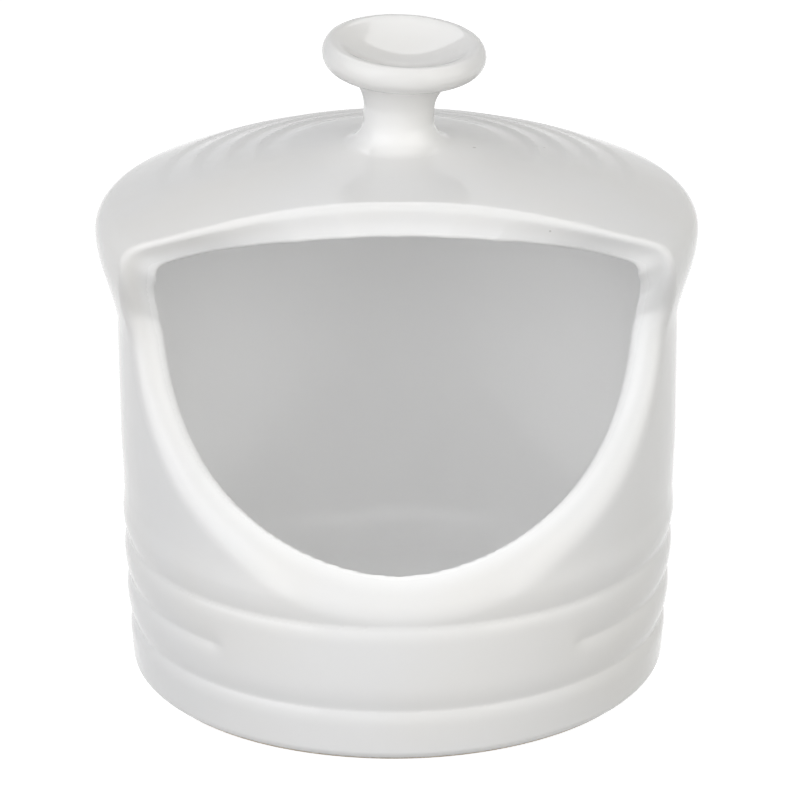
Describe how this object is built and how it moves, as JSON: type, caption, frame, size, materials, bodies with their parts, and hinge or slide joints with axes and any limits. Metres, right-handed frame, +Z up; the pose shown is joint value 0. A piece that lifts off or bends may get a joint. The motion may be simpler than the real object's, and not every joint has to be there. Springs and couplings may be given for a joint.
{
  "type": "salt crock",
  "caption": "Open-fronted glazed stoneware salt crock with a ribbed body, a domed hood over a scooped mouth, and a dished knob.",
  "frame": {"origin": "on the body's axis, at the flat underside of the foot, where the crock stands", "axes": "+Z up through the knob, -Y out of the mouth at the front, +X to the right as seen from the front"},
  "size_m": [0.1256, 0.1215, 0.1395],
  "materials": {
    "body_glaze": "glossy white glaze over stoneware",
    "hood_glaze": "glossy white glaze over stoneware",
    "knob_glaze": "glossy white glaze over stoneware",
    "bare_clay": "unglazed fired clay, wiped clean of glaze"
  },
  "bodies": {
    "root": {"crock_body": "body_glaze", "domed_hood": "hood_glaze", "knob": "knob_glaze", "foot_disc": "bare_clay"}
  },
  "joints": []
}
